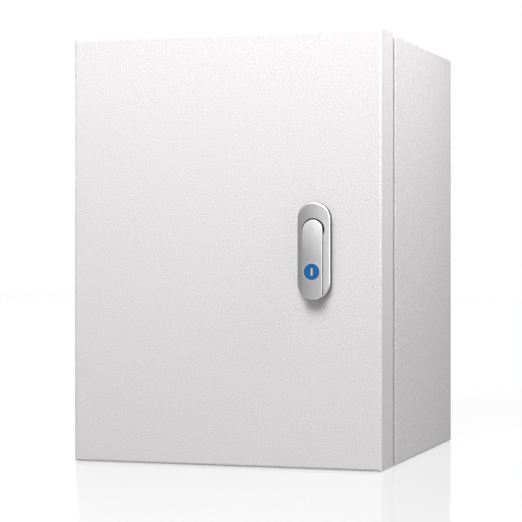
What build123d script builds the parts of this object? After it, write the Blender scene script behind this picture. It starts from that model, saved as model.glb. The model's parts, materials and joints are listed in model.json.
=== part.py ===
from build123d import *
import os
from math import asin, degrees, hypot, radians, sin, sqrt

# A wall-mounted electrical enclosure: a folded steel box, a hinged tray door and a lift-and-turn lock.
# Millimetres, +Z up. The wall is the plane Y = 0 and the box stands out from it along -Y.
# The origin is the middle of the four wall holes.

# Closed box, from the wall to the face of the door
height = 400.0
width = 300.0
depth = 300.0

# Folded sheet steel
sheet = 1.5
fold = 0.8  # inside radius of a fold
edge_round = 1.2  # ground outer edges of the body
overrun = 2.0  # how far a cut runs past the face that it opens

# Clearances
fit_clear = 0.05  # round a bolt, pin or stud in its hole
run_clear = 0.08  # round a piece that turns in its bore
face_clear = 0.3  # between faces that pass each other

# Door tray
door_depth = 48.0
door_reveal = 0.5  # how far the door stays inside the outline of the body
door_gap = 4.0  # between the rolled edge of the door and the body
roll = 4.0  # outside radius of the rolled rear edge
door_swing = 120.0  # degrees

# Foam seal on the inside of the door
seal_width = 14.0
seal_depth = 8.0
seal_corner = 14.0
seal_inner_corner = 6.0
seal_round = 3.0

# Raised rim round the mouth of the body
rim_corner = 6.0

# Concealed hinges
hinge_end = 75.0  # middle of a hinge, from the end of the box
hinge_forward = 12.0  # pin axis, in front of the rear edge of the door
hinge_inset = 8.0  # pin axis, from the side of the door
pin_radius = 3.0
pin_head_radius = 5.0
pin_head = 2.0
pin_tail = 3.0  # below the lower lug
eye_clear = 0.5  # between a hinge eye and the door flange
knuckle_length = 20.0
knuckle_pad = 16.0  # seat of the knuckle along the door flange
lug_thick = 8.0
neck_share = 0.8  # width of a lug's neck over its eye
lug_round = 2.0
leaf_thick = 2.5
leaf_gap = 1.5  # between the leaf and the swing of the door edge
leaf_margin = 4.0  # leaf behind the front edge of the rim
leaf_length = 64.0
leaf_screw_pitch = 50.0
leaf_screw_radius = 2.0
leaf_screw_head = 2.2
leaf_screw_head_radius = 3.5
leaf_nut_flats = 7.0
leaf_nut = 3.2

# Wall holes in the back
wall_hole_radius = 4.5
wall_hole_inset = 30.0  # from the sides and the ends of the box

# Mounting plate on its studs
plate_margin = 25.0  # plate inside the outline of the box
plate_thick = 2.0
plate_return = 12.0  # side flanges, folded towards the wall
plate_corner = 45.0  # corner cut that leaves the wall holes free
plate_stud_side = 25.0  # studs, from the sides of the plate
plate_stud_end = 55.0  # studs, from the ends of the plate
collar_radius = 7.0
collar_length = 20.0
stud_radius = 4.0
stud_end = 4.0  # stud past its nut
stud_nut = 6.5
stud_nut_flats = 13.0
stud_washer = 1.6
stud_washer_radius = 8.0

# Cable entry in the floor of the box
gland_side = 60.0  # opening, from the sides of the box
gland_y = 80.0
gland_setback = 130.0  # middle of the opening, from the wall
gland_corner = 6.0
gland_border = 18.0  # plate past the opening
gland_gasket_thick = 2.0
gland_plate_thick = 2.0
gland_stud_radius = 2.5
gland_stud_end = 2.0
gland_nut = 4.0
gland_nut_flats = 8.0

# Earth studs on the body and on the door
earth_radius = 3.0
earth_length = 18.0
earth_washer = 1.6
earth_washer_radius = 6.0
earth_nut = 5.0
earth_nut_flats = 10.0
body_earth_inset = 90.0  # from the hinged side of the box
body_earth_rise = 14.0  # above the floor of the box
door_earth_inset = 52.0  # from the side and the bottom of the door

# Lock base on the face of the door
lock_inset = 61.4  # middle of the lock, from the free edge of the door
lock_drop = 0.8  # middle of the lock, below mid-height
base_length = 88.4
base_width = 30.8
base_thick = 7.0
base_crown = 2.0  # sides of the base below its middle
base_round = 1.6
lock_gasket_thick = 2.0
lock_gasket_inset = 0.2
scoop_inset = 14.6  # top of the finger scoop, below the top end of the base
scoop_radius = 10.1
scoop_depth = 5.5
scoop_round = 1.0
shank_radius = 11.0
shank_length = 16.0  # behind the lock gasket
hole_clear = 0.3  # round the shank and the screw in the door
lock_washer_radius = 16.5
lock_washer_thick = 1.5
lock_nut_flats = 28.0
lock_nut_thick = 6.0
lock_screw_inset = 7.5  # from the top end of the base
lock_screw_radius = 2.0
lock_screw_bite = 4.5
lock_screw_head = 2.6
lock_screw_head_radius = 3.8
lock_screw_socket = 1.6

# Spindle that turns in the base
turn_inset = 25.25  # turning axis, above the bottom end of the base
rotor_radius = 8.0
rotor_head = 1.5
rotor_head_radius = 9.0
clip_thick = 1.2
clip_radius = 10.0
clip_groove = 1.0
clip_land = 2.0  # rotor behind the clip
spindle_radius = 6.0
spindle_square = 8.0
spindle_bolt_depth = 14.0
carrier_width = 12.0
carrier_thick = 1.5
lift_inset = 5.75  # lift pin, above the bottom end of the base
lift_knuckle_radius = 1.5
lift_knuckle_length = 10.0
lift_pin_radius = 0.9
lift_pin_inset = 0.3  # pin ends below the flanks of the handle

# Tongue on the rear end of the spindle
tongue_gap = 1.0  # behind the body's shoulder when turned home
tongue_thick = 3.0
tongue_width = 20.0
tongue_reach = 50.0
tongue_chamfer = 1.2
tongue_washer_radius = 8.0
tongue_washer_thick = 1.6
tongue_bolt_radius = 3.0
tongue_bolt_length = 12.0
tongue_bolt_head = 4.0
tongue_bolt_flats = 10.0
bolt_seat = 0.2  # square end kept below the face of the tongue

# Handle
handle_width = 18.7
handle_thick = 4.2
tip_thick = 1.8
dip_gap = 1.2  # between the flange of the key cylinder and the dip towards the tip
handle_crown = 0.6
handle_round = 0.5
handle_wall = 1.6
handle_roof = 1.0
tip_inset = 16.1  # tip of the handle, below the top end of the base
tail_lip = 1.2  # height of the tail's end face
tail_start = 0.5  # where the underside of the tail begins, below the lift pin
boss_clear = 0.3

# Key cylinder and its blue disc
cylinder_flange_radius = 8.3
cylinder_flange = 0.8
cylinder_stand = 0.3  # flange above the crown of the handle
cylinder_radius = 7.6
barrel_radius = 5.2
barrel_length = 3.8
barrel_clear = 1.0  # between the barrel and the rotor
disc_radius = 7.35
disc_thick = 1.4
disc_sink = 0.2  # disc below the flange of the cylinder
disc_dish_radius = 6.2
disc_dish = 0.25
slot_width = 2.0
slot_length = 7.3
slot_border = 0.7
plug_radius = 4.0
shutter_sink = 0.3  # shutter in the key slot, below the face of the disc

# Places that follow from the sizes above
door_width = width - 2 * door_reveal
door_height = height - 2 * door_reveal
door_rear = depth - door_depth
door_skin = depth - sheet
body_depth = door_rear - door_gap
rim_front = door_skin - seal_depth - face_clear
axis_x = hinge_inset - door_width / 2
axis_depth = door_rear + hinge_forward
swing_radius = hypot(hinge_inset - roll, hinge_forward - roll) + roll
rim_step = door_reveal + hinge_inset + swing_radius + leaf_gap + leaf_thick
rim_x = rim_step - width / 2
mouth_width = width - 2 * (rim_step + sheet)
mouth_height = height - 2 * (rim_step + sheet)
eye_radius = hinge_inset - sheet - eye_clear
arm_rear = axis_depth + hinge_forward * sin(radians(door_swing) - radians(90)) + leaf_gap
arm_front = rim_front - leaf_margin
leaf_depth = (arm_rear + arm_front) / 2
# The front edge of the rim is folded back on its inner side, as far as the hinge nuts allow
hem_depth = rim_front - leaf_depth - leaf_nut_flats / sqrt(3) - face_clear
hinge_level = height / 2 - hinge_end
lug_start = knuckle_length / 2 + face_clear
lug_end = lug_start + lug_thick
floor_top = sheet - height / 2
wall_spacing_x = width - 2 * wall_hole_inset
wall_spacing_z = height - 2 * wall_hole_inset
plate_width = width - 2 * plate_margin
plate_height = height - 2 * plate_margin
plate_stud_x = plate_width - 2 * plate_stud_side
plate_stud_z = plate_height - 2 * plate_stud_end
gland_x = width - 2 * gland_side
body_earth_x = body_earth_inset - width / 2
plate_rear = sheet + collar_length
plate_front = plate_rear + plate_thick
gland_top = floor_top + gland_gasket_thick + gland_plate_thick
lock_x = door_width / 2 - lock_inset
base_top = lock_gasket_thick + base_thick
turn_z = turn_inset - base_length / 2
lift_z = lift_inset - base_length / 2
tip_z = base_length / 2 - tip_inset
screw_z = base_length / 2 - lock_screw_inset
shank_end = -shank_length
handle_floor = base_top + face_clear
handle_top = handle_floor + handle_thick
lift_rise = handle_floor + lift_knuckle_radius
carrier_top = handle_floor + carrier_thick
boss_radius = handle_width / 2 - handle_wall - boss_clear
flange_top = handle_top + cylinder_stand
flange_seat = flange_top - cylinder_flange
barrel_top = carrier_top + face_clear
barrel_end = barrel_top - barrel_length
disc_seat = flange_top - disc_sink - disc_thick - run_clear
groove_start = shank_end - run_clear
groove_end = groove_start - clip_thick - fit_clear
tongue_seat = body_depth - sheet - tongue_gap - depth
turn_place = [(0, turn_z)]
leaf_screw_places = [
    (-leaf_depth, side * hinge_level + end * leaf_screw_pitch / 2)
    for side in (-1, 1)
    for end in (-1, 1)
]

# Half section of the lock through its turning axis: local X is the radius and local Y rises from the door
turning = Plane((lock_x, -depth, turn_z - lock_drop), x_dir=(1, 0, 0), z_dir=(0, 0, -1))
turn_axis = Axis((lock_x, -depth, turn_z - lock_drop), (0, 1, 0))

os.makedirs("parts", exist_ok=True)


def at_depth(distance):
    """A plane parallel to the wall, looking out of the front of the box."""
    return Plane.XZ.offset(distance)


def on_lock(rise):
    """A plane parallel to the door's face and above it, centred on the lock."""
    return Plane((lock_x, -(depth + rise), -lock_drop), x_dir=(1, 0, 0), z_dir=(0, -1, 0))


def across_lock(offset):
    """A plane square to the lift pin: local X rises from the door and local Y is up."""
    return Plane((lock_x + offset, -depth, -lock_drop), x_dir=(0, -1, 0), z_dir=(-1, 0, 0))


def save(part, name):
    part.label = name
    export_step(part, f"parts/{name}.step")


def tray(span, rise, rear, front, front_round, rear_round):
    """A block whose front and rear edges are rounded and whose corners are mitred."""
    middle = -(rear + front) / 2
    with BuildPart() as block:
        with BuildSketch(Plane.XY) as plan:
            with Locations((0, middle)):
                Rectangle(span, front - rear)
            fillet(plan.vertices().group_by(Axis.Y)[0], front_round)
            fillet(plan.vertices().group_by(Axis.Y)[-1], rear_round)
        extrude(amount=rise / 2, both=True)
        with BuildSketch(Plane.YZ) as side:
            with Locations((middle, 0)):
                Rectangle(front - rear, rise)
            fillet(side.vertices().group_by(Axis.X)[0], front_round)
            fillet(side.vertices().group_by(Axis.X)[-1], rear_round)
        extrude(amount=span / 2, both=True, mode=Mode.INTERSECT)
    return block.part


def rods(plane, places, radius, length):
    """Plain round studs that stand on a plane."""
    with BuildPart() as group:
        with BuildSketch(plane):
            with Locations(*places):
                Circle(radius)
        extrude(amount=length)
    return group.part


def washers(plane, places, radius, bore, thickness):
    with BuildPart() as group:
        with BuildSketch(plane):
            with Locations(*places):
                Circle(radius)
                Circle(bore, mode=Mode.SUBTRACT)
        extrude(amount=thickness)
    return group.part


def nuts(plane, places, flats, bore, thickness):
    """Hexagon nuts that stand on a plane."""
    with BuildPart() as group:
        with BuildSketch(plane):
            with Locations(*places):
                RegularPolygon(flats / 2, 6, major_radius=False)
                Circle(bore, mode=Mode.SUBTRACT)
        extrude(amount=thickness)
    return group.part


def crown_section(level, half, top, crown):
    """A section square to the lock, under an arc that falls by the crown at the half width."""
    bend = (half**2 + crown**2) / (2 * crown)
    side = half + overrun
    edge = top - bend + sqrt(bend**2 - side**2)
    square = Plane((lock_x, -depth, level - lock_drop), x_dir=(1, 0, 0), z_dir=(0, 0, -1))
    with BuildSketch(square) as section:
        with BuildLine():
            Polyline((side, edge), (side, 0), (-side, 0), (-side, edge))
            ThreePointArc((-side, edge), (0, top), (side, edge))
        make_face()
    return section.sketch


# Body of the box: side walls, back, shoulder and raised rim in one welded sheet
hem_width = mouth_width - 2 * sheet
hem_height = mouth_height - 2 * sheet
with BuildPart() as box_shell:
    with BuildSketch(Plane.XZ):
        RectangleRounded(width, height, fold + sheet)
    extrude(amount=body_depth)
    fillet(box_shell.faces().filter_by(Axis.Y).edges(), edge_round)
    with BuildSketch(at_depth(sheet)):
        RectangleRounded(width - 2 * sheet, height - 2 * sheet, fold)
    extrude(amount=body_depth - 2 * sheet, mode=Mode.SUBTRACT)
    with BuildSketch(at_depth(body_depth - sheet)):
        RectangleRounded(mouth_width, mouth_height, rim_corner)
    extrude(amount=sheet + overrun, mode=Mode.SUBTRACT)
    with BuildSketch(at_depth(body_depth - sheet)):
        RectangleRounded(mouth_width + 2 * sheet, mouth_height + 2 * sheet, rim_corner + sheet)
        RectangleRounded(mouth_width, mouth_height, rim_corner, mode=Mode.SUBTRACT)
    extrude(amount=rim_front - body_depth + sheet)
    with BuildSketch(at_depth(rim_front - hem_depth)):
        RectangleRounded(mouth_width, mouth_height, rim_corner)
        RectangleRounded(hem_width, hem_height, rim_corner - sheet, mode=Mode.SUBTRACT)
    extrude(amount=hem_depth)
    # Wall holes
    with BuildSketch(Plane.XZ):
        with GridLocations(wall_spacing_x, wall_spacing_z, 2, 2):
            Circle(wall_hole_radius)
    extrude(amount=sheet + overrun, mode=Mode.SUBTRACT)
    # Cable entry
    with BuildSketch(Plane.XY.offset(-height / 2)):
        with Locations((0, -gland_setback)):
            RectangleRounded(gland_x, gland_y, gland_corner)
    extrude(amount=sheet + overrun, mode=Mode.SUBTRACT)
    # Holes for the hinge screws in the rim
    with BuildSketch(Plane.YZ.offset(rim_x)):
        with Locations(*leaf_screw_places):
            Circle(leaf_screw_radius + fit_clear)
    extrude(amount=sheet + overrun, mode=Mode.SUBTRACT)
save(box_shell.part, "box_shell")

# Mounting plate: flanged sides and cut corners
stud_places = [
    (column * plate_stud_x / 2, row * plate_stud_z / 2) for column in (-1, 1) for row in (-1, 1)
]
with BuildPart() as mounting_plate:
    with BuildSketch(Plane.XY) as channel:
        with Locations((0, -plate_front)):
            Rectangle(plate_width, plate_return, align=(Align.CENTER, Align.MIN))
        fillet(channel.vertices().group_by(Axis.Y)[0], fold + plate_thick)
        with BuildSketch(Plane.XY, mode=Mode.SUBTRACT) as trough:
            with Locations((0, -plate_rear)):
                Rectangle(plate_width - 2 * plate_thick, plate_return, align=(Align.CENTER, Align.MIN))
            fillet(trough.vertices().group_by(Axis.Y)[0], fold)
    extrude(amount=plate_height / 2, both=True)
    with BuildSketch(at_depth(0)) as outline:
        Rectangle(plate_width, plate_height)
        chamfer(outline.vertices(), plate_corner)
        with Locations(*stud_places):
            Circle(stud_radius + fit_clear, mode=Mode.SUBTRACT)
    extrude(amount=plate_front, mode=Mode.INTERSECT)
save(mounting_plate.part, "mounting_plate")

# Welded studs with a collar that spaces the plate from the back
stud_length = collar_length + plate_thick + stud_washer + stud_nut + stud_end
with BuildPart() as plate_studs:
    with BuildSketch(at_depth(sheet)):
        with Locations(*stud_places):
            Circle(collar_radius)
    extrude(amount=collar_length)
    with BuildSketch(at_depth(sheet)):
        with Locations(*stud_places):
            Circle(stud_radius)
    extrude(amount=stud_length)
save(plate_studs.part, "plate_studs")
stud_bore = stud_radius + fit_clear
nut_seat = plate_front + stud_washer
plate_washers = washers(at_depth(plate_front), stud_places, stud_washer_radius, stud_bore, stud_washer)
save(plate_washers, "plate_washers")
save(nuts(at_depth(nut_seat), stud_places, stud_nut_flats, stud_bore, stud_nut), "plate_nuts")

# Cable entry: gasket and plate over the opening in the floor, held on welded studs
gland_stud_pitch = (gland_x + gland_border) / 2
gland_stud_span = gland_y + gland_border
gland_places = [
    (column * gland_stud_pitch, side * gland_stud_span / 2 - gland_setback)
    for column in (-1, 0, 1)
    for side in (-1, 1)
]
with BuildPart() as gland_gasket:
    with BuildSketch(Plane.XY.offset(floor_top)):
        with Locations((0, -gland_setback)):
            RectangleRounded(gland_x + 2 * gland_border, gland_y + 2 * gland_border, gland_corner)
            RectangleRounded(gland_x, gland_y, gland_corner, mode=Mode.SUBTRACT)
        with Locations(*gland_places):
            Circle(gland_stud_radius + fit_clear, mode=Mode.SUBTRACT)
    extrude(amount=gland_gasket_thick)
save(gland_gasket.part, "gland_gasket")

with BuildPart() as gland_plate:
    with BuildSketch(Plane.XY.offset(floor_top + gland_gasket_thick)):
        with Locations((0, -gland_setback)):
            RectangleRounded(gland_x + 2 * gland_border, gland_y + 2 * gland_border, gland_corner)
        with Locations(*gland_places):
            Circle(gland_stud_radius + fit_clear, mode=Mode.SUBTRACT)
    extrude(amount=gland_plate_thick)
save(gland_plate.part, "gland_plate")

gland_stud_length = gland_top + gland_nut + gland_stud_end - floor_top
save(rods(Plane.XY.offset(floor_top), gland_places, gland_stud_radius, gland_stud_length), "gland_studs")
gland_bore = gland_stud_radius + fit_clear
save(nuts(Plane.XY.offset(gland_top), gland_places, gland_nut_flats, gland_bore, gland_nut), "gland_nuts")


def earth_point(plane, way, place, owner):
    """A welded earth stud with a washer between two nuts. The way is 1 out of the plane, -1 into it."""
    bore = earth_radius + fit_clear
    washer_plane = plane.offset(way * earth_nut)
    outer_plane = washer_plane.offset(way * earth_washer)
    save(rods(plane, [place], earth_radius, way * earth_length), f"{owner}_earth_stud")
    washer = washers(washer_plane, [place], earth_washer_radius, bore, way * earth_washer)
    save(washer, f"{owner}_earth_washer")
    with BuildPart() as pair:
        add(nuts(plane, [place], earth_nut_flats, bore, way * earth_nut))
        add(nuts(outer_plane, [place], earth_nut_flats, bore, way * earth_nut))
    save(pair.part, f"{owner}_earth_nuts")


earth_point(at_depth(sheet), 1, (body_earth_x, floor_top + body_earth_rise), "body")
door_earth_place = (door_earth_inset - door_width / 2, door_earth_inset - door_height / 2)
earth_point(at_depth(door_skin), -1, door_earth_place, "door")

# Door: a tray with a rolled rear edge
inner_width = door_width - 2 * sheet
inner_height = door_height - 2 * sheet
with BuildPart() as door_panel:
    add(tray(door_width, door_height, door_rear, depth, fold + sheet, roll))
    add(tray(inner_width, inner_height, door_rear + sheet, door_skin, fold, roll - sheet), mode=Mode.SUBTRACT)
    with BuildSketch(at_depth(door_rear)):
        Rectangle(door_width - 2 * roll, door_height - 2 * roll)
    extrude(amount=sheet + overrun, mode=Mode.SUBTRACT)
    with BuildSketch(on_lock(0)):
        with Locations((0, turn_z)):
            Circle(shank_radius + hole_clear)
        with Locations((0, screw_z)):
            Circle(lock_screw_radius + hole_clear)
    extrude(amount=-sheet - overrun, mode=Mode.SUBTRACT)
save(door_panel.part, "door_panel")

# Foam seal, opposite the rim
seal_inner_width = mouth_width - seal_width
seal_inner_height = mouth_height - seal_width
with BuildPart() as door_seal:
    with BuildSketch(at_depth(door_skin)):
        RectangleRounded(mouth_width + seal_width, mouth_height + seal_width, seal_corner)
        RectangleRounded(seal_inner_width, seal_inner_height, seal_inner_corner, mode=Mode.SUBTRACT)
    extrude(amount=-seal_depth)
    fillet(door_seal.faces().sort_by(Axis.Y)[-1].edges(), seal_round)
save(door_seal.part, "door_seal")


def hinge_bracket(level):
    """Leaf on the rim with two lugs that reach round the swing of the door edge to the pin."""
    neck = 2 * eye_radius * neck_share
    arm = arm_front - arm_rear
    with BuildPart() as bracket:
        with BuildSketch(Plane.XY.offset(level - lug_end)) as lug:
            with Locations((axis_x - neck / 2, -arm_front)):
                Rectangle(neck, arm_front - axis_depth, align=(Align.MIN, Align.MIN))
                Rectangle(rim_x - axis_x + neck / 2, arm, align=(Align.MIN, Align.MIN))
            fillet(lug.vertices().group_by(Axis.Y)[0].sort_by(Axis.X)[0], lug_round)
            with Locations((axis_x, -axis_depth)):
                Circle(eye_radius)
                Circle(pin_radius + fit_clear, mode=Mode.SUBTRACT)
        extrude(amount=2 * lug_end)
        with BuildSketch(Plane.XY.offset(level - lug_start)):
            with Locations((rim_x - leaf_thick, -axis_depth)):
                Rectangle(2 * rim_step, 2 * door_depth, align=(Align.MAX, Align.CENTER))
        extrude(amount=2 * lug_start, mode=Mode.SUBTRACT)
        with BuildSketch(Plane.YZ.offset(rim_x)):
            with Locations((-leaf_depth, level)):
                RectangleRounded(arm, leaf_length, lug_round)
        extrude(amount=-leaf_thick)
        with BuildSketch(Plane.YZ.offset(rim_x)):
            with Locations(*[(-leaf_depth, level + end * leaf_screw_pitch / 2) for end in (-1, 1)]):
                Circle(leaf_screw_radius + fit_clear)
        extrude(amount=-leaf_thick - overrun, mode=Mode.SUBTRACT)
    return bracket.part


def hinge_knuckle(level):
    """Block on the inside of the door flange, bored for the pin."""
    flange = hinge_inset - sheet
    with BuildPart() as knuckle:
        with BuildSketch(Plane.XY.offset(level - knuckle_length / 2)) as plan:
            with Locations((axis_x - flange, -(axis_depth + knuckle_pad))):
                Rectangle(flange, knuckle_pad, align=(Align.MIN, Align.MIN))
            fillet(plan.vertices().group_by(Axis.Y)[0].sort_by(Axis.X)[-1], lug_round)
            with Locations((axis_x, -axis_depth)):
                Circle(eye_radius)
                Circle(pin_radius + run_clear, mode=Mode.SUBTRACT)
        extrude(amount=knuckle_length)
    return knuckle.part


def hinge_pin(level):
    """Headed pin, hung on the upper lug."""
    with BuildPart() as pin:
        with BuildSketch(Plane.XY.offset(level - lug_end - pin_tail)):
            with Locations((axis_x, -axis_depth)):
                Circle(pin_radius)
        extrude(amount=2 * lug_end + pin_tail)
        with BuildSketch(Plane.XY.offset(level + lug_end)):
            with Locations((axis_x, -axis_depth)):
                Circle(pin_head_radius)
        extrude(amount=pin_head)
    return pin.part


for place, level in (("upper", hinge_level), ("lower", -hinge_level)):
    save(hinge_bracket(level), f"{place}_hinge_bracket")
    save(hinge_knuckle(level), f"{place}_hinge_knuckle")
    save(hinge_pin(level), f"{place}_hinge_pin")

# Screws through leaf and rim, with nuts inside the mouth
with BuildPart() as hinge_screws:
    with BuildSketch(Plane.YZ.offset(rim_x - leaf_thick)):
        with Locations(*leaf_screw_places):
            Circle(leaf_screw_radius)
    extrude(amount=leaf_thick + sheet + leaf_nut)
    with BuildSketch(Plane.YZ.offset(rim_x - leaf_thick)):
        with Locations(*leaf_screw_places):
            Circle(leaf_screw_head_radius)
    extrude(amount=-leaf_screw_head)
save(hinge_screws.part, "hinge_screws")
leaf_bore = leaf_screw_radius + fit_clear
leaf_nut_plane = Plane.YZ.offset(rim_x + sheet)
save(nuts(leaf_nut_plane, leaf_screw_places, leaf_nut_flats, leaf_bore, leaf_nut), "hinge_screw_nuts")

# Lock gasket between base and door
with BuildPart() as lock_gasket:
    with BuildSketch(on_lock(0)):
        SlotOverall(base_length - 2 * lock_gasket_inset, base_width - 2 * lock_gasket_inset, rotation=90)
        with Locations((0, turn_z)):
            Circle(shank_radius + hole_clear, mode=Mode.SUBTRACT)
        with Locations((0, screw_z)):
            Circle(lock_screw_radius + hole_clear, mode=Mode.SUBTRACT)
    extrude(amount=lock_gasket_thick)
save(lock_gasket.part, "lock_gasket")

# Lock base: crowned oblong casting with a finger scoop, a bored shank and a tapped hole
with BuildPart() as crowned_base:
    extrude(crown_section(0, base_width / 2, base_top, base_crown), amount=base_length, both=True)
with BuildPart() as lock_base:
    with BuildSketch(on_lock(lock_gasket_thick)):
        SlotOverall(base_length, base_width, rotation=90)
    extrude(amount=base_thick)
    add(crowned_base.part, mode=Mode.INTERSECT)
    fillet(lock_base.faces().sort_by(Axis.Y)[0].edges(), base_round)
    with BuildSketch(on_lock(base_top)):
        with Locations((0, base_length / 2 - scoop_inset - scoop_radius)):
            Circle(scoop_radius)
    extrude(amount=-scoop_depth, mode=Mode.SUBTRACT)
    scoop_floor = lock_base.faces().filter_by(Axis.Y).filter_by_position(
        Axis.Y, -(depth + base_top), -(depth + lock_gasket_thick), inclusive=(False, False)
    )
    fillet(scoop_floor.edges(), scoop_round)
    with BuildSketch(on_lock(lock_gasket_thick)):
        with Locations((0, turn_z)):
            Circle(shank_radius)
    extrude(amount=shank_end - lock_gasket_thick)
    with BuildSketch(on_lock(base_top)):
        with Locations((0, turn_z)):
            Circle(rotor_head_radius + run_clear)
    extrude(amount=-rotor_head - run_clear, mode=Mode.SUBTRACT)
    with BuildSketch(on_lock(base_top)):
        with Locations((0, turn_z)):
            Circle(rotor_radius + run_clear)
    extrude(amount=shank_end - base_top - overrun, mode=Mode.SUBTRACT)
    with BuildSketch(on_lock(lock_gasket_thick)):
        with Locations((0, screw_z)):
            Circle(lock_screw_radius + fit_clear)
    extrude(amount=lock_screw_bite, mode=Mode.SUBTRACT)
save(lock_base.part, "lock_base")

# Washer and nut that clamp the base behind the door, and the screw at its upper end
shank_bore = shank_radius + fit_clear
lock_washer = washers(on_lock(-sheet), turn_place, lock_washer_radius, shank_bore, -lock_washer_thick)
save(lock_washer, "lock_washer")
lock_nut_plane = on_lock(-sheet - lock_washer_thick)
save(nuts(lock_nut_plane, turn_place, lock_nut_flats, shank_bore, -lock_nut_thick), "lock_nut")
with BuildPart() as lock_screw:
    with BuildSketch(on_lock(-sheet)):
        with Locations((0, screw_z)):
            Circle(lock_screw_radius)
    extrude(amount=sheet + lock_gasket_thick + lock_screw_bite)
    with BuildSketch(on_lock(-sheet)):
        with Locations((0, screw_z)):
            Circle(lock_screw_head_radius)
    extrude(amount=-lock_screw_head)
    with BuildSketch(on_lock(-sheet - lock_screw_head)):
        with Locations((0, screw_z)):
            RegularPolygon(lock_screw_socket, 6)
    extrude(amount=lock_screw_socket, mode=Mode.SUBTRACT)
save(lock_screw.part, "lock_screw")

# Spindle: rotor in one piece with its shaft, the carrier arm and its lift knuckle, and a square rear end
with BuildPart() as lock_spindle:
    with BuildSketch(turning) as profile:
        with BuildLine():
            Polyline(
                (0, tongue_seat),
                (spindle_radius, tongue_seat),
                (spindle_radius, groove_end - clip_land),
                (rotor_radius, groove_end - clip_land),
                (rotor_radius, groove_end),
                (rotor_radius - clip_groove, groove_end),
                (rotor_radius - clip_groove, groove_start),
                (rotor_radius, groove_start),
                (rotor_radius, base_top - rotor_head),
                (rotor_head_radius, base_top - rotor_head),
                (rotor_head_radius, base_top),
                (boss_radius, base_top),
                (boss_radius, carrier_top),
                (barrel_radius + barrel_clear, carrier_top),
                (barrel_radius + barrel_clear, barrel_end - face_clear),
                (0, barrel_end - face_clear),
                close=True,
            )
        make_face()
    revolve(axis=turn_axis)
    with BuildSketch(on_lock(handle_floor)):
        with Locations((0, lift_z)):
            Rectangle(carrier_width, turn_z - lift_z, align=(Align.CENTER, Align.MIN))
        with Locations((0, turn_z)):
            Circle(barrel_radius + barrel_clear, mode=Mode.SUBTRACT)
    extrude(amount=carrier_thick)
    with BuildSketch(across_lock(lift_knuckle_length / 2)):
        with Locations((lift_rise, lift_z)):
            Circle(lift_knuckle_radius)
    extrude(amount=lift_knuckle_length)
    with BuildSketch(across_lock(carrier_width / 2)):
        with Locations((lift_rise, lift_z)):
            Circle(lift_pin_radius + run_clear)
    extrude(amount=carrier_width, mode=Mode.SUBTRACT)
    with BuildSketch(on_lock(tongue_seat)):
        with Locations((0, turn_z)):
            Rectangle(spindle_square, spindle_square)
    extrude(amount=bolt_seat - tongue_thick)
    with BuildSketch(on_lock(tongue_seat - tongue_thick)):
        with Locations((0, turn_z)):
            Circle(tongue_bolt_radius + fit_clear)
    extrude(amount=spindle_bolt_depth, mode=Mode.SUBTRACT)
save(lock_spindle.part, "lock_spindle")

clip_bore = rotor_radius - clip_groove + fit_clear
save(washers(on_lock(groove_start), turn_place, clip_radius, clip_bore, -clip_thick), "spindle_clip")

# Tongue, hanging clear of the body; a quarter turn takes it behind the shoulder
with BuildPart() as lock_tongue:
    with BuildSketch(on_lock(tongue_seat)):
        with Locations((0, turn_z - tongue_reach / 2 + tongue_width / 4)):
            SlotOverall(tongue_reach + tongue_width / 2, tongue_width, rotation=90)
        with Locations((0, turn_z)):
            Rectangle(spindle_square + 2 * fit_clear, spindle_square + 2 * fit_clear, mode=Mode.SUBTRACT)
    extrude(amount=-tongue_thick)
    chamfer(lock_tongue.faces().sort_by(Axis.Y)[0].edges().sort_by(Axis.Z)[0], tongue_chamfer)
save(lock_tongue.part, "lock_tongue")

bolt_bore = tongue_bolt_radius + fit_clear
tongue_back = tongue_seat - tongue_thick
washer_plane = on_lock(tongue_back)
tongue_washer = washers(washer_plane, turn_place, tongue_washer_radius, bolt_bore, -tongue_washer_thick)
save(tongue_washer, "tongue_washer")
with BuildPart() as tongue_bolt:
    with BuildSketch(on_lock(tongue_back - tongue_washer_thick)):
        with Locations(*turn_place):
            Circle(tongue_bolt_radius)
    extrude(amount=tongue_washer_thick + tongue_bolt_length)
    with BuildSketch(on_lock(tongue_back - tongue_washer_thick)):
        with Locations(*turn_place):
            RegularPolygon(tongue_bolt_flats / 2, 6, major_radius=False)
    extrude(amount=-tongue_bolt_head)
save(tongue_bolt.part, "tongue_bolt")

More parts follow.
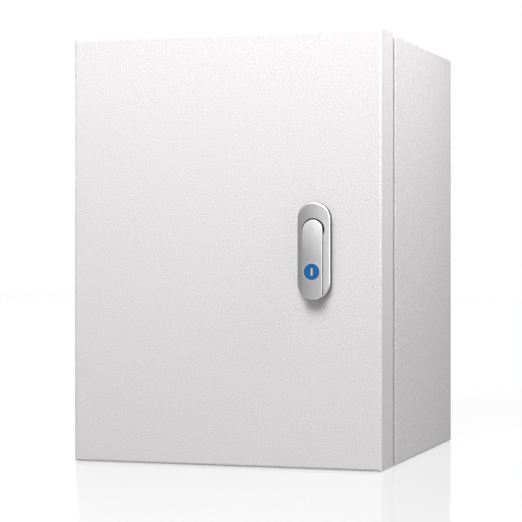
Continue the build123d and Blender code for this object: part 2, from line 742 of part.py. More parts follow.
# Handle: crowned hollow lever that dips towards a round tip; its tail follows the end of the base
dip_start = turn_z + cylinder_flange_radius + dip_gap
dip_run = tip_z - dip_start
dip_drop = handle_thick - tip_thick
dip_radius = (dip_run**2 + dip_drop**2) / (2 * dip_drop)
dip_axis = Axis((lock_x, -(depth + handle_top - dip_radius), dip_start - lock_drop), (-1, 0, 0))
lever_section = crown_section(dip_start, handle_width / 2, handle_top, handle_crown)
with BuildPart() as crowned_lever:
    extrude(lever_section, amount=base_length)
    revolve(lever_section, axis=dip_axis, revolution_arc=degrees(asin((dip_run + overrun) / dip_radius)))
hollow_top = handle_top - handle_roof
hollow_width = handle_width - 2 * handle_wall
hollow_low = lift_z - lift_knuckle_radius - face_clear
hollow_high = turn_z + boss_radius + boss_clear
handle_slot = base_length + handle_width
with BuildPart() as lock_handle:
    with BuildSketch(on_lock(handle_floor)):
        with Locations((0, tip_z - handle_slot / 2)):
            SlotOverall(handle_slot, handle_width, rotation=90)
        SlotOverall(base_length, base_width, rotation=90, mode=Mode.INTERSECT)
    extrude(amount=handle_thick)
    add(crowned_lever.part, mode=Mode.INTERSECT)
    level_face, dip_face = lock_handle.faces().sort_by(Axis.Y)[:2]
    seam = [edge for edge in level_face.edges() if edge in dip_face.edges()]
    rim = level_face.edges() + dip_face.edges()
    fillet([edge for edge in rim if edge not in seam], handle_round)
    # Underside of the tail, cut back so that it clears the base when the handle lifts
    with BuildSketch(across_lock(handle_width)):
        with BuildLine():
            Polyline(
                (handle_top - tail_lip, -base_length / 2 - overrun),
                (handle_top - tail_lip, -base_length / 2),
                (handle_floor, lift_z - tail_start),
                (handle_floor - overrun, lift_z - tail_start),
                (handle_floor - overrun, -base_length / 2 - overrun),
                close=True,
            )
        make_face()
    extrude(amount=2 * handle_width, mode=Mode.SUBTRACT)
    # Hollow for the carrier, the boss and the key cylinder
    with BuildSketch(on_lock(handle_floor)):
        with Locations((0, hollow_low)):
            Rectangle(hollow_width, hollow_high - hollow_low, align=(Align.CENTER, Align.MIN))
    extrude(amount=hollow_top - handle_floor, mode=Mode.SUBTRACT)
    with BuildSketch(on_lock(hollow_top)):
        with Locations(*turn_place):
            Circle(cylinder_radius + fit_clear)
    extrude(amount=handle_roof + overrun, mode=Mode.SUBTRACT)
    with BuildSketch(on_lock(flange_seat)):
        with Locations(*turn_place):
            Circle(cylinder_flange_radius + fit_clear)
    extrude(amount=cylinder_flange + overrun, mode=Mode.SUBTRACT)
    with BuildSketch(across_lock(handle_width)):
        with Locations((lift_rise, lift_z)):
            Circle(lift_pin_radius + fit_clear)
    extrude(amount=2 * handle_width, mode=Mode.SUBTRACT)
save(lock_handle.part, "lock_handle")

handle_pin_length = handle_width - 2 * lift_pin_inset
with BuildPart() as handle_pin:
    with BuildSketch(across_lock(handle_pin_length / 2)):
        with Locations((lift_rise, lift_z)):
            Circle(lift_pin_radius)
    extrude(amount=handle_pin_length)
save(handle_pin.part, "handle_pin")

# Key cylinder: flange on the handle and barrel below it
with BuildPart() as key_cylinder:
    with BuildSketch(turning):
        with BuildLine():
            Polyline(
                (plug_radius + run_clear, barrel_end),
                (barrel_radius, barrel_end),
                (barrel_radius, barrel_top),
                (cylinder_radius, barrel_top),
                (cylinder_radius, flange_seat),
                (cylinder_flange_radius, flange_seat),
                (cylinder_flange_radius, flange_top),
                (disc_radius + run_clear, flange_top),
                (disc_radius + run_clear, disc_seat),
                (plug_radius + run_clear, disc_seat),
                close=True,
            )
        make_face()
    revolve(axis=turn_axis)
save(key_cylinder.part, "key_cylinder")

# Blue disc with its key slot, on the plug that turns in the barrel and closes the slot with its shutter
disc_floor = disc_seat + run_clear
land_length = slot_length + 2 * slot_border
land_width = slot_width + 2 * slot_border
with BuildPart() as key_disc:
    with BuildSketch(on_lock(disc_floor)):
        with Locations(*turn_place):
            Circle(disc_radius)
            SlotOverall(slot_length, slot_width, rotation=90, mode=Mode.SUBTRACT)
    extrude(amount=disc_thick)
    with BuildSketch(on_lock(disc_floor + disc_thick)):
        with Locations(*turn_place):
            Circle(disc_dish_radius)
            SlotOverall(land_length, land_width, rotation=90, mode=Mode.SUBTRACT)
    extrude(amount=-disc_dish, mode=Mode.SUBTRACT)
save(key_disc.part, "key_disc")
with BuildPart() as key_plug:
    add(rods(on_lock(barrel_end), turn_place, plug_radius, disc_floor - barrel_end))
    with BuildSketch(on_lock(disc_floor)):
        with Locations(*turn_place):
            SlotOverall(slot_length - 2 * fit_clear, slot_width - 2 * fit_clear, rotation=90)
    extrude(amount=disc_thick - shutter_sink)
save(key_plug.part, "key_plug")
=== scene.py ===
import bmesh
import bpy
import json
import math
from mathutils import Matrix, Vector


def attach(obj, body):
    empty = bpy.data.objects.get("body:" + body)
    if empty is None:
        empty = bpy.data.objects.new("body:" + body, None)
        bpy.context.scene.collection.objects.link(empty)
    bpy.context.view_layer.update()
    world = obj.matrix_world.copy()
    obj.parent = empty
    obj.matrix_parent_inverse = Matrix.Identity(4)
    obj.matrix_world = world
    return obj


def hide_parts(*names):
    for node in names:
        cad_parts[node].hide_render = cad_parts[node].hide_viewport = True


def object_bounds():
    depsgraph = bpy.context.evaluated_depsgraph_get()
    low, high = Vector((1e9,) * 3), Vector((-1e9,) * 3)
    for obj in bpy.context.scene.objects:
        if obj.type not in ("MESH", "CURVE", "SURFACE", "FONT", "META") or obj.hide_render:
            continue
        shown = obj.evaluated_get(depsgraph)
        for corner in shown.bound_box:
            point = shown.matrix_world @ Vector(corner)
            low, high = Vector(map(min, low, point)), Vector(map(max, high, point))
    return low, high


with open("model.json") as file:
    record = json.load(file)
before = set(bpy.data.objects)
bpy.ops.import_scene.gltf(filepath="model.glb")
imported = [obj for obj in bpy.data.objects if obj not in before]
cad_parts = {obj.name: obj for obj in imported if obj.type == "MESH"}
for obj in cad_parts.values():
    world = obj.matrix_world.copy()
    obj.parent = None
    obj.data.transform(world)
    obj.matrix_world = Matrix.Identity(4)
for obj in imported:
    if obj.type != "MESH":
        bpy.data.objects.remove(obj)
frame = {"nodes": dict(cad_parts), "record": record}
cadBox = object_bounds()
nodes = frame["nodes"]
scene = bpy.context.scene
mm = 0.001
print("frame loaded:", len(nodes), "nodes")


def linearColour(code):  # sRGB hex to linear
    shares = [int(code[i:i + 2], 16) / 255 for i in (1, 3, 5)]
    return [s / 12.92 if s <= 0.04045 else ((s + 0.055) / 1.055) ** 2.4 for s in shares] + [1]


def addNode(tree, kind, settings, links=()):
    node = tree.nodes.new(kind)
    for name, value in settings.items():
        if isinstance(name, int) or name in node.inputs:
            node.inputs[name].default_value = value
        else:
            setattr(node, name, value)
    for name, source in dict(links).items():
        tree.links.new(source, node.inputs[name])
    return node


def newMaterial(name):
    material = bpy.data.materials.new(name)
    material.use_nodes = True
    tree = material.node_tree
    tree.nodes.clear()
    shader = addNode(tree, "ShaderNodeBsdfPrincipled", {})
    addNode(tree, "ShaderNodeOutputMaterial", {}, {"Surface": shader.outputs[0]})
    place = addNode(tree, "ShaderNodeTexCoord", {}).outputs["Object"]
    return material, tree, shader, place


# Polyester powder coat, sprayed and baked on folded steel: satin, with a fine speckled grain over a slow orange peel
def powderCoat():
    look = {
        "pale": "#F0EEEE", "dark": "#C9C7C7", "fleckStart": 0.34, "fleckFull": 0.66, "smooth": 0.40, "rough": 0.52,
        "grainMm": 0.85, "grainLiftMm": 0.03, "grainRelief": 0.6, "peelMm": 5.0, "peelLiftMm": 0.03, "peelRelief": 0.5,
        "ior": 1.5, "coat": 0.15, "coatRough": 0.16}
    material, tree, shader, place = newMaterial("powderCoatedSteel")
    grain = addNode(tree, "ShaderNodeTexNoise",
                    {"Scale": 1 / (look["grainMm"] * mm), "Detail": 1.0, "Roughness": 0.5}, {"Vector": place})
    peel = addNode(tree, "ShaderNodeTexNoise",
                   {"Scale": 1 / (look["peelMm"] * mm), "Detail": 1.0}, {"Vector": place})
    fleck = addNode(tree, "ShaderNodeMapRange",
                    {"From Min": look["fleckStart"], "From Max": look["fleckFull"]}, {"Value": grain.outputs["Fac"]})
    tint = addNode(tree, "ShaderNodeMix",
                   {"data_type": "RGBA", 6: linearColour(look["dark"]), 7: linearColour(look["pale"])},
                   {0: fleck.outputs["Result"]})
    sheen = addNode(tree, "ShaderNodeMapRange",
                    {"To Min": look["smooth"], "To Max": look["rough"]}, {"Value": grain.outputs["Fac"]})
    slow = addNode(tree, "ShaderNodeBump",
                   {"Strength": look["peelRelief"], "Distance": look["peelLiftMm"] * mm},
                   {"Height": peel.outputs["Fac"]})
    fine = addNode(tree, "ShaderNodeBump",
                   {"Strength": look["grainRelief"], "Distance": look["grainLiftMm"] * mm},
                   {"Height": grain.outputs["Fac"], "Normal": slow.outputs["Normal"]})
    shader.inputs["IOR"].default_value = look["ior"]
    shader.inputs["Coat Weight"].default_value = look["coat"]
    shader.inputs["Coat Roughness"].default_value = look["coatRough"]
    tree.links.new(tint.outputs[2], shader.inputs["Base Color"])
    tree.links.new(sheen.outputs["Result"], shader.inputs["Roughness"])
    tree.links.new(fine.outputs["Normal"], shader.inputs["Normal"])
    return material


# Hot-dip galvanised sheet: frozen zinc leaves a spangle of flat crystals, each at its own tone and gloss
def galvanisedSheet():
    look = {
        "bright": "#BEC2C6", "dull": "#A2A7AC", "spangleMm": 11.0, "frostMm": 1.6, "frostShare": 0.35,
        "smooth": 0.36, "rough": 0.50, "relief": 0.3, "liftMm": 0.04}
    material, tree, shader, place = newMaterial("galvanisedSteelSheet")
    spangle = addNode(tree, "ShaderNodeTexVoronoi",
                      {"Scale": 1 / (look["spangleMm"] * mm), "Randomness": 1.0}, {"Vector": place})
    tone = addNode(tree, "ShaderNodeSeparateColor", {}, {"Color": spangle.outputs["Color"]})
    frost = addNode(tree, "ShaderNodeTexNoise",
                    {"Scale": 1 / (look["frostMm"] * mm), "Detail": 4.0}, {"Vector": place})
    blend = addNode(tree, "ShaderNodeMath", {"operation": "MULTIPLY_ADD", 1: look["frostShare"]},
                    {0: frost.outputs["Fac"], 2: tone.outputs["Red"]})
    tint = addNode(tree, "ShaderNodeMix",
                   {"data_type": "RGBA", 6: linearColour(look["dull"]), 7: linearColour(look["bright"])},
                   {0: blend.outputs["Value"]})
    gloss = addNode(tree, "ShaderNodeMapRange",
                    {"To Min": look["smooth"], "To Max": look["rough"]}, {"Value": tone.outputs["Green"]})
    relief = addNode(tree, "ShaderNodeBump",
                     {"Strength": look["relief"], "Distance": look["liftMm"] * mm}, {"Height": frost.outputs["Fac"]})
    shader.inputs["Metallic"].default_value = 1.0
    tree.links.new(tint.outputs[2], shader.inputs["Base Color"])
    tree.links.new(gloss.outputs["Result"], shader.inputs["Roughness"])
    tree.links.new(relief.outputs["Normal"], shader.inputs["Normal"])
    return material


# Painted shade: a dark colour inside a round pocket, below a given depth, stands in for the shade in the recess
def addPaintedPocketShade(tree, place, colour, pocketShade):
    x, y, z = [c * mm for c in pocketShade["axis"]]
    radius, blend = pocketShade["radius"] * mm, pocketShade["blend"] * mm
    flat = addNode(tree, "ShaderNodeVectorMath", {"operation": "MULTIPLY", 1: (1, 0, 1)}, {0: place})
    away = addNode(tree, "ShaderNodeVectorMath", {"operation": "DISTANCE", 1: (x, 0, z)}, {0: flat.outputs["Vector"]})
    near = addNode(tree, "ShaderNodeMapRange",
                   {"From Min": radius, "From Max": radius + blend, "To Min": 1.0, "To Max": 0.0},
                   {"Value": away.outputs["Value"]})
    axes = addNode(tree, "ShaderNodeSeparateXYZ", {}, {"Vector": place})
    deep = addNode(tree, "ShaderNodeMapRange", {"From Min": y, "From Max": y + blend}, {"Value": axes.outputs["Y"]})
    both = addNode(tree, "ShaderNodeMath", {"operation": "MULTIPLY"},
                   {0: near.outputs["Result"], 1: deep.outputs["Result"]})
    mixed = addNode(tree, "ShaderNodeMix", {"data_type": "RGBA", 7: linearColour(pocketShade["tone"])},
                    {0: both.outputs["Value"], 6: colour})
    return mixed.outputs[2]


# Painted shade: a darker colour round the foot of a casting, near the door, stands in for the shade at its foot
def addPaintedFootShade(tree, place, colour, footShade):
    level, blend = footShade["level"] * mm, footShade["blend"] * mm
    axes = addNode(tree, "ShaderNodeSeparateXYZ", {}, {"Vector": place})
    low = addNode(tree, "ShaderNodeMapRange", {"From Min": level, "From Max": level + blend},
                  {"Value": axes.outputs["Y"]})
    mixed = addNode(tree, "ShaderNodeMix", {"data_type": "RGBA", 7: linearColour(footShade["tone"])},
                    {0: low.outputs["Result"], 6: colour})
    return mixed.outputs[2]


# A worked metal: two tones in a mottle, a finer roughness noise and a light relief
def workedMetal(name, look):
    material, tree, shader, place = newMaterial(name)
    mottle = addNode(tree, "ShaderNodeTexNoise",
                     {"Scale": 1 / (look["mottleMm"] * mm), "Detail": 3.0}, {"Vector": place})
    grit = addNode(tree, "ShaderNodeTexNoise",
                   {"Scale": 1 / (look["gritMm"] * mm), "Detail": 2.0}, {"Vector": place})
    tint = addNode(tree, "ShaderNodeMix",
                   {"data_type": "RGBA", 6: linearColour(look["dark"]), 7: linearColour(look["pale"])},
                   {0: mottle.outputs["Fac"]})
    rough = addNode(tree, "ShaderNodeMapRange",
                    {"To Min": look["smooth"], "To Max": look["rough"]}, {"Value": grit.outputs["Fac"]})
    relief = addNode(tree, "ShaderNodeBump",
                     {"Strength": look["relief"], "Distance": look["liftMm"] * mm}, {"Height": grit.outputs["Fac"]})
    shader.inputs["Metallic"].default_value = look["metallic"]
    colour = tint.outputs[2]
    # painted shade: a dark colour in the pocket stands in for the shade in the recess
    if "pocketShade" in look:
        colour = addPaintedPocketShade(tree, place, colour, look["pocketShade"])
    # painted shade: a darker colour round the foot stands in for the shade there
    if "footShade" in look:
        colour = addPaintedFootShade(tree, place, colour, look["footShade"])
    tree.links.new(colour, shader.inputs["Base Color"])
    tree.links.new(rough.outputs["Result"], shader.inputs["Roughness"])
    tree.links.new(relief.outputs["Normal"], shader.inputs["Normal"])
    return material


# Foam and rubber: closed cells or a fine moulded grain that pit a dull dark surface
def softSeal(name, look):
    material, tree, shader, place = newMaterial(name)
    cells = addNode(tree, "ShaderNodeTexVoronoi",
                    {"Scale": 1 / (look["cellMm"] * mm), "feature": "F1"}, {"Vector": place})
    dust = addNode(tree, "ShaderNodeTexNoise",
                   {"Scale": 1 / (look["dustMm"] * mm), "Detail": 3.0}, {"Vector": place})
    tint = addNode(tree, "ShaderNodeMix",
                   {"data_type": "RGBA", 6: linearColour(look["dark"]), 7: linearColour(look["pale"])},
                   {0: dust.outputs["Fac"]})
    pits = addNode(tree, "ShaderNodeBump",
                   {"Strength": look["relief"], "Distance": look["liftMm"] * mm}, {"Height": cells.outputs["Distance"]})
    shader.inputs["Roughness"].default_value = look["rough"]
    tree.links.new(tint.outputs[2], shader.inputs["Base Color"])
    tree.links.new(pits.outputs["Normal"], shader.inputs["Normal"])
    return material


# Moulded ABS, polished in the tool: glossy, with a faint flow in its blue
def mouldedBlue():
    look = {
        "blue": "#176AA6", "deep": "#115A90", "flowMm": 6.0, "wearMm": 0.5, "smooth": 0.16, "rough": 0.30, "ior": 1.54}
    material, tree, shader, place = newMaterial("mouldedBlueAbs")
    flow = addNode(tree, "ShaderNodeTexNoise",
                   {"Scale": 1 / (look["flowMm"] * mm), "Detail": 2.0}, {"Vector": place})
    wear = addNode(tree, "ShaderNodeTexNoise",
                   {"Scale": 1 / (look["wearMm"] * mm), "Detail": 2.0}, {"Vector": place})
    tint = addNode(tree, "ShaderNodeMix",
                   {"data_type": "RGBA", 6: linearColour(look["deep"]), 7: linearColour(look["blue"])},
                   {0: flow.outputs["Fac"]})
    gloss = addNode(tree, "ShaderNodeMapRange", {"To Min": look["smooth"], "To Max": look["rough"]},
                    {"Value": wear.outputs["Fac"]})
    shader.inputs["IOR"].default_value = look["ior"]
    tree.links.new(tint.outputs[2], shader.inputs["Base Color"])
    tree.links.new(gloss.outputs["Result"], shader.inputs["Roughness"])
    return material


paint = powderCoat()
galvanised = galvanisedSheet()
blueAbs = mouldedBlue()
# Zinc-plated steel, barrel plated and clear passivated: bright, slightly blue, faintly mottled
zincPlated = workedMetal("zincPlatedSteel", {
    "pale": "#CDD1D6", "dark": "#B3B8BE", "mottleMm": 4.0, "gritMm": 0.4, "smooth": 0.22, "rough": 0.36,
    "relief": 0.15, "liftMm": 0.01, "metallic": 1.0})
# Pressure-cast zinc, tumbled and left bare: dull grey, with a fine sandy skin
hingeZinc = workedMetal("castZincHinge", {
    "pale": "#A9ACB0", "dark": "#8C9094", "mottleMm": 6.0, "gritMm": 0.5, "smooth": 0.42, "rough": 0.6,
    "relief": 0.35, "liftMm": 0.03, "metallic": 1.0})
# Pressure-cast zinc with a silver lacquer: metal flake under a satin clear coat
lockLook = {
    "pale": "#E4E4E4", "dark": "#D8D8D8", "mottleMm": 9.0, "gritMm": 0.35, "smooth": 0.27, "rough": 0.34,
    "relief": 0.07, "liftMm": 0.01, "metallic": 0.9}
lockZinc = workedMetal("silverLacqueredZinc", lockLook)
# The same on the handle, with painted shade all round its foot
handleZinc = workedMetal("silverLacqueredZincHandleWithPaintedShade", lockLook | {
    "footShade": {"level": -311.0, "blend": 0.3, "tone": "#4A4A4A"}})
# The same on the lock base, with painted shade round its foot and in the finger scoop below its edge
baseZinc = workedMetal("silverLacqueredZincBaseWithPaintedShade", lockLook | {
    "pocketShade": {"axis": (88.1, -308.6, 18.7), "radius": 10.3, "blend": 0.4, "tone": "#151515"},
    "footShade": {"level": -306.2, "blend": 1.0, "tone": "#4A4A4A"}})
# Nickel-plated brass, turned: pale and bright, with fine tool marks
plugNickel = workedMetal("nickelPlatedBrass", {
    "pale": "#DDE3E6", "dark": "#CCD4D8", "mottleMm": 3.0, "gritMm": 0.3, "smooth": 0.32, "rough": 0.46,
    "relief": 0.1, "liftMm": 0.01, "metallic": 0.8})
# Poured polyurethane foam: a dull skin pitted by its closed cells
sealFoam = softSeal("pouredPolyurethaneFoam", {
    "pale": "#3A3B3D", "dark": "#292A2C", "cellMm": 0.9, "dustMm": 5.0, "rough": 0.85, "relief": 0.7, "liftMm": 0.15})
# Cut EPDM sheet: almost black, with a close moulded grain
gasketRubber = softSeal("epdmGasketRubber", {
    "pale": "#2B2C2D", "dark": "#1E1F20", "cellMm": 0.35, "dustMm": 3.0, "rough": 0.7, "relief": 0.3, "liftMm": 0.03})

finishes = {
    "powder_coat": paint, "galvanised_sheet": galvanised, "zinc_plated_steel": zincPlated, "hinge_casting": hingeZinc,
    "lock_casting": lockZinc, "seal_foam": sealFoam, "gasket_rubber": gasketRubber, "key_disc_plastic": blueAbs}
special = {"key_plug": plugNickel, "key_cylinder": plugNickel, "lock_base": baseZinc, "lock_handle": handleZinc}
for row in frame["record"]["subparts"]:
    mesh = nodes[row["node"]].data
    mesh.materials.clear()
    mesh.materials.append(special.get(row["node"], finishes[row["material_slot"]]))
print("materials on", len(nodes), "nodes")


# Which way a fastener's own +Z points when it is in place
ways = {
    "front": Matrix.Rotation(math.pi / 2, 4, "X"), "wall": Matrix.Rotation(-math.pi / 2, 4, "X"),
    "up": Matrix.Identity(4)}


def joinInto(group, part, way, place):  # sets a shape made at the origin in its place in the group
    bmesh.ops.transform(part, matrix=Matrix.Translation([c * mm for c in place]) @ ways[way], verts=part.verts)
    holder = bpy.data.meshes.new("holder")
    part.to_mesh(holder)
    part.free()
    group.from_mesh(holder)
    bpy.data.meshes.remove(holder)


def cutSquare(part, height, facing):  # cuts a rod square and closes its end
    cut = bmesh.ops.bisect_plane(
        part, geom=part.verts[:] + part.edges[:] + part.faces[:], dist=1e-7,
        plane_co=(0, 0, height), plane_no=(0, 0, facing), clear_outer=True)
    rim = [g for g in cut["geom_cut"] if isinstance(g, bmesh.types.BMEdge)]
    return bmesh.ops.edgeloop_fill(part, edges=rim)["faces"]


# Form of a rolled thread, in shares of its pitch, and of its pointed end, in shares of its radius
threadForm = {"depth": 0.6, "rootEnd": 0.12, "crestStart": 0.44, "nose": 0.82, "steps": 24}


def threadedRod(size):  # a thread line one pitch high, wound up a helix, cut square and pointed at its end
    radius, pitch = size["radius"] * mm, size["pitch"] * mm
    length, point = size["length"] * mm, size["point"] * mm
    root = radius - threadForm["depth"] * pitch
    turns = math.ceil(length / pitch) + 2
    steps, low, high = threadForm["steps"], threadForm["rootEnd"], threadForm["crestStart"]
    rod = bmesh.new()
    flank = ((root, 0), (root, low), (radius, high), (radius, 1 - high), (root, 1 - low), (root, 1))
    line = [rod.verts.new((r, 0, (z - 1) * pitch)) for r, z in flank]
    edges = [rod.edges.new(pair) for pair in zip(line, line[1:])]
    bmesh.ops.spin(rod, geom=line + edges, cent=(0, 0, 0), axis=(0, 0, 1), dvec=(0, 0, pitch / steps),
                   angle=2 * math.pi * turns, steps=steps * turns)
    bmesh.ops.remove_doubles(rod, verts=rod.verts, dist=1e-6)
    cutSquare(rod, 0, -1)
    tip = cutSquare(rod, length - point, 1)
    nose = bmesh.ops.extrude_face_region(rod, geom=tip)["geom"]
    noseVerts = [g for g in nose if isinstance(g, bmesh.types.BMVert)]
    bmesh.ops.delete(rod, geom=tip, context="FACES_ONLY")
    bmesh.ops.translate(rod, vec=(0, 0, point), verts=noseVerts)
    bmesh.ops.scale(rod, vec=(threadForm["nose"], threadForm["nose"], 1), verts=noseVerts)
    bmesh.ops.recalc_face_normals(rod, faces=rod.faces)
    return rod


def turned(profile, steps):  # a closed half section, turned once round
    part = bmesh.new()
    line = [part.verts.new((r * mm, 0, z * mm)) for r, z in profile]
    edges = [part.edges.new(pair) for pair in zip(line, line[1:] + line[:1])]
    bmesh.ops.spin(part, geom=line + edges, cent=(0, 0, 0), axis=(0, 0, 1), angle=2 * math.pi, steps=steps,
                   use_merge=True)
    bmesh.ops.remove_doubles(part, verts=part.verts, dist=1e-7)
    return part


def millFlats(part, flats):  # six flats on a turned blank
    for k in range(6):
        facing = (math.cos(k * math.pi / 3), math.sin(k * math.pi / 3), 0)
        cut = bmesh.ops.bisect_plane(
            part, geom=part.verts[:] + part.edges[:] + part.faces[:], dist=1e-7,
            plane_co=[c * flats / 2 * mm for c in facing], plane_no=facing, clear_outer=True)
        rim = [g for g in cut["geom_cut"] if isinstance(g, bmesh.types.BMEdge)]
        bmesh.ops.edgeloop_fill(part, edges=rim)
    bmesh.ops.recalc_face_normals(part, faces=part.faces)


# Form of a nut: its corners and flat ends as shares of its hexagon, and its countersink as a share of the bore
nutForm = {"corner": 0.985, "land": 0.47, "chamferDegrees": 30, "lead": 0.08, "steps": 48}


def hexNut(size):  # both ends chamfered, mouth of the thread countersunk
    corner = size["flats"] / math.sqrt(3) * nutForm["corner"]
    land = size["flats"] * nutForm["land"]
    drop = (corner - land) * math.tan(math.radians(nutForm["chamferDegrees"]))
    bore, high = size["bore"], size["thick"]
    lead = nutForm["lead"] * bore
    nut = turned([(bore + lead, 0), (land, 0), (corner, drop), (corner, high - drop), (land, high), (bore + lead, high),
                  (bore, high - lead), (bore, lead)], nutForm["steps"])
    millFlats(nut, size["flats"])
    return nut


def addPiece(name, group, body, material, stands):
    mesh = bpy.data.meshes.new(name)
    group.to_mesh(mesh)
    group.free()
    mesh.materials.append(material)
    piece = bpy.data.objects.new(name, mesh)
    scene.collection.objects.link(piece)
    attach(piece, body)
    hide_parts(*stands)
    return piece


def nutSet(name, size, way, places, body, stands):
    group = bmesh.new()
    for place in places:
        joinInto(group, hexNut(size), way, place)
    addPiece(name, group, body, zincPlated, stands)


# Studs and nuts of the mounting plate
plateFixing = {
    "x": 100.0, "z": 120.0, "seat": 1.5,
    "collar": {"radius": 7.0, "length": 20.0, "round": 0.8, "coreShare": 0.7, "steps": 40},
    "thread": {"radius": 4.0, "pitch": 1.25, "length": 14.1, "point": 1.0},
    "nut": {"flats": 13.0, "bore": 4.05, "thick": 6.5}, "nutSeat": 25.1}
plateSpots = [(i * plateFixing["x"], k * plateFixing["z"]) for i in (-1, 1) for k in (-1, 1)]
group = bmesh.new()
for x, z in plateSpots:
    size = plateFixing["collar"]
    r, high, edge = size["radius"], size["length"], size["round"]
    inner = plateFixing["thread"]["radius"] * size["coreShare"]
    collar = turned([(inner, 0), (r, 0), (r, high - edge), (r - edge, high), (inner, high)], size["steps"])
    bmesh.ops.recalc_face_normals(collar, faces=collar.faces)
    joinInto(group, collar, "front", (x, -plateFixing["seat"], z))
    joinInto(group, threadedRod(plateFixing["thread"]), "front", (x, -plateFixing["seat"] - high, z))
addPiece("plateStuds", group, "cabinet", zincPlated, ["plate_studs"])
nutSet("plateNuts", plateFixing["nut"], "front", [(x, -plateFixing["nutSeat"], z) for x, z in plateSpots], "cabinet",
       ["plate_nuts"])

# Studs and nuts of the cable entry plate
glandFixing = {
    "x": 99.0, "y": 49.0, "middle": -130.0, "seat": -198.5, "nutSeat": -194.5,
    "thread": {"radius": 2.5, "pitch": 0.8, "length": 10.0, "point": 0.6},
    "nut": {"flats": 8.0, "bore": 2.55, "thick": 4.0}}
glandSpots = [
    (i * glandFixing["x"], glandFixing["middle"] + k * glandFixing["y"]) for i in (-1, 0, 1) for k in (-1, 1)]
group = bmesh.new()
for x, y in glandSpots:
    joinInto(group, threadedRod(glandFixing["thread"]), "up", (x, y, glandFixing["seat"]))
addPiece("glandStuds", group, "cabinet", zincPlated, ["gland_studs"])
nutSet("glandNuts", glandFixing["nut"], "up", [(x, y, glandFixing["nutSeat"]) for x, y in glandSpots], "cabinet",
       ["gland_nuts"])

# Earth studs: one on the back of the box, one inside the door, each with two nuts
earthPoint = {
    "thread": {"radius": 3.0, "pitch": 1.0, "length": 18.0, "point": 0.8},
    "nut": {"flats": 10.0, "bore": 3.05, "thick": 5.0}, "washer": 1.6,
    "body": ("front", (-60.0, -1.5, -184.5)), "door": ("wall", (-97.5, -298.5, -147.5))}
for owner, carrier in (("body", "cabinet"), ("door", "door")):
    way, (x, y, z) = earthPoint[owner]
    step = -1 if way == "front" else 1
    second = y + step * (earthPoint["nut"]["thick"] + earthPoint["washer"])
    group = bmesh.new()
    joinInto(group, threadedRod(earthPoint["thread"]), way, (x, y, z))
    addPiece(owner + "EarthStud", group, carrier, zincPlated, [owner + "_earth_stud"])
    nutSet(owner + "EarthNuts", earthPoint["nut"], way, [(x, y, z), (x, second, z)], carrier, [owner + "_earth_nuts"])

# Ring nut that clamps the lock behind the door
lockFixing = {"nut": {"flats": 28.0, "bore": 11.05, "thick": 6.0}, "place": (88.1, -297.0, -19.75)}
nutSet("lockNut", lockFixing["nut"], "wall", [lockFixing["place"]], "door", ["lock_nut"])
print("fasteners threaded and chamfered")

# Floor: a white acrylic sheet, which takes a soft shadow and a faint mirror image
floorLook = {
    "base": "#5A5A5A", "level": cadBox[0].z, "half": 6.0, "nearGlow": 0.89, "farGlow": 1.0, "nearM": 0.45, "farM": 1.6,
    "mirrored": 0.15, "mirror": 0.30, "mirrorRough": 0.10}
ground = bmesh.new()
bmesh.ops.create_grid(ground, x_segments=1, y_segments=1, size=floorLook["half"])
bmesh.ops.translate(ground, vec=(0, 0, floorLook["level"]), verts=ground.verts)
floorMesh = bpy.data.meshes.new("floor")
ground.to_mesh(floorMesh)
ground.free()
floor = bpy.data.objects.new("floor", floorMesh)
scene.collection.objects.link(floor)

acrylic = bpy.data.materials.new("whiteAcrylicFloor")
acrylic.use_nodes = True
tree = acrylic.node_tree
tree.nodes.clear()
spot = addNode(tree, "ShaderNodeTexCoord", {}).outputs["Object"]
away = addNode(tree, "ShaderNodeVectorMath", {"operation": "LENGTH"}, {0: spot})
level = addNode(tree, "ShaderNodeMapRange",
                {"From Min": floorLook["nearM"], "From Max": floorLook["farM"], "To Min": floorLook["nearGlow"],
                 "To Max": floorLook["farGlow"]}, {"Value": away.outputs["Value"]})
ray = addNode(tree, "ShaderNodeLightPath", {})
dim = addNode(tree, "ShaderNodeMath", {"operation": "MULTIPLY", 1: floorLook["mirrored"]},
              {0: ray.outputs["Is Glossy Ray"]})
seen = addNode(tree, "ShaderNodeMath", {"operation": "MAXIMUM"},
               {0: dim.outputs["Value"], 1: ray.outputs["Is Camera Ray"]})
white = addNode(tree, "ShaderNodeMath", {"operation": "MULTIPLY"},
                {0: seen.outputs["Value"], 1: level.outputs["Result"]})
matt = addNode(tree, "ShaderNodeBsdfDiffuse", {"Color": linearColour(floorLook["base"])})
glow = addNode(tree, "ShaderNodeEmission", {"Color": (1, 1, 1, 1)}, {"Strength": white.outputs["Value"]})
lit = addNode(tree, "ShaderNodeAddShader", {}, {0: matt.outputs[0], 1: glow.outputs[0]})
mirror = addNode(tree, "ShaderNodeBsdfGlossy", {"Color": (1, 1, 1, 1), "Roughness": floorLook["mirrorRough"]})
both = addNode(tree, "ShaderNodeMixShader", {0: floorLook["mirror"]}, {1: lit.outputs[0], 2: mirror.outputs[0]})
addNode(tree, "ShaderNodeOutputMaterial", {}, {"Surface": both.outputs[0]})
floorMesh.materials.append(acrylic)

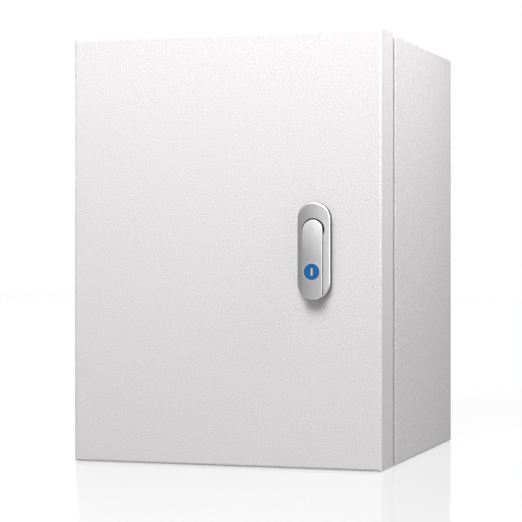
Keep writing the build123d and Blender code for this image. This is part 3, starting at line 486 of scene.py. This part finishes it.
# World: white to the eye; in reflections white, with two dark screens and a bright panel beside the set
roomLight = {"level": 0.02, "screens": {
    "frontLeft": {"way": (-0.906, -0.423, 0.0), "start": 0.22, "full": 0.95, "tone": 0.08},
    "backRight": {"way": (0.600, 0.800, 0.0), "start": 0.74, "full": 0.92, "tone": 0.15},
    "rightPanel": {"way": (0.985, -0.174, 0.0), "start": 0.92, "full": 0.96, "tone": 4.0}}}
world = bpy.data.worlds.new("studio")
scene.world = world
world.use_nodes = True
tree = world.node_tree
tree.nodes.clear()
way = addNode(tree, "ShaderNodeTexCoord", {}).outputs["Generated"]
mirrored = addNode(tree, "ShaderNodeValue", {}).outputs[0]
mirrored.default_value = 1.0
for screen in roomLight["screens"].values():
    toScreen = addNode(tree, "ShaderNodeVectorMath", {"operation": "DOT_PRODUCT", 1: screen["way"]}, {0: way})
    shade = addNode(tree, "ShaderNodeMapRange",
                    {"From Min": screen["start"], "From Max": screen["full"], "To Min": 1.0, "To Max": screen["tone"]},
                    {"Value": toScreen.outputs["Value"]})
    mirrored = addNode(tree, "ShaderNodeMath", {"operation": "MULTIPLY"},
                       {0: mirrored, 1: shade.outputs["Result"]}).outputs["Value"]
ray = addNode(tree, "ShaderNodeLightPath", {})
bounced = addNode(tree, "ShaderNodeMath", {"operation": "MAXIMUM"},
                  {0: ray.outputs["Is Glossy Ray"], 1: ray.outputs["Is Transmission Ray"]})
room = addNode(tree, "ShaderNodeMapRange", {"To Min": roomLight["level"]},
               {"Value": bounced.outputs["Value"], "To Max": mirrored})
strength = addNode(tree, "ShaderNodeMath", {"operation": "MAXIMUM"},
                   {0: room.outputs["Result"], 1: ray.outputs["Is Camera Ray"]})
sky = addNode(tree, "ShaderNodeBackground", {"Color": (1, 1, 1, 1)}, {"Strength": strength.outputs["Value"]})
addNode(tree, "ShaderNodeOutputWorld", {}, {"Surface": sky.outputs[0]})

# Soft boxes: each has its place, the point that it faces, its size and its power
softBoxes = {
    "keyBox": {"place": (0.08, -1.12, 0.76), "target": (0.0, -0.28, 0.0), "size": 0.6, "watts": 13.2},
    "leftBox": {"place": (-0.50, -0.90, 0.45), "target": (0.0, -0.28, 0.0), "size": 0.6, "watts": 1.0},
    "sideBox": {"place": (0.62, -0.25, 0.52), "target": (0.0, -0.28, 0.0), "size": 0.4, "watts": 5.2},
    "backBox": {"place": (-0.95, 0.85, 0.45), "target": (0.0, 0.0, 0.0), "size": 0.9, "watts": 17.0}}
for name, box in softBoxes.items():
    lamp = bpy.data.lights.new(name, "AREA")
    lamp.shape = "SQUARE"
    lamp.size = box["size"]
    lamp.energy = box["watts"]
    holder = bpy.data.objects.new(name, lamp)
    scene.collection.objects.link(holder)
    holder.location = box["place"]
    facing = [t - p for t, p in zip(box["target"], box["place"])]
    holder.rotation_euler = Vector(facing).to_track_quat("-Z", "Y").to_euler()
print("floor, world and soft boxes set")

# Camera: level with the middle of the box, a little to the right of the door
lens = {"place": (0.560, -1.947, 0.0), "turnDegrees": 17.65, "focalMm": 129.9, "sensorMm": 36.0, "rise": -0.0211}
view = bpy.data.cameras.new("view")
view.lens = lens["focalMm"]
view.sensor_width = lens["sensorMm"]
view.shift_y = lens["rise"]
camera = bpy.data.objects.new("view", view)
scene.collection.objects.link(camera)
camera.location = lens["place"]
camera.rotation_euler = (math.pi / 2, 0, math.radians(lens["turnDegrees"]))
scene.camera = camera
scene.view_settings.view_transform = "Standard"

print("camera set")
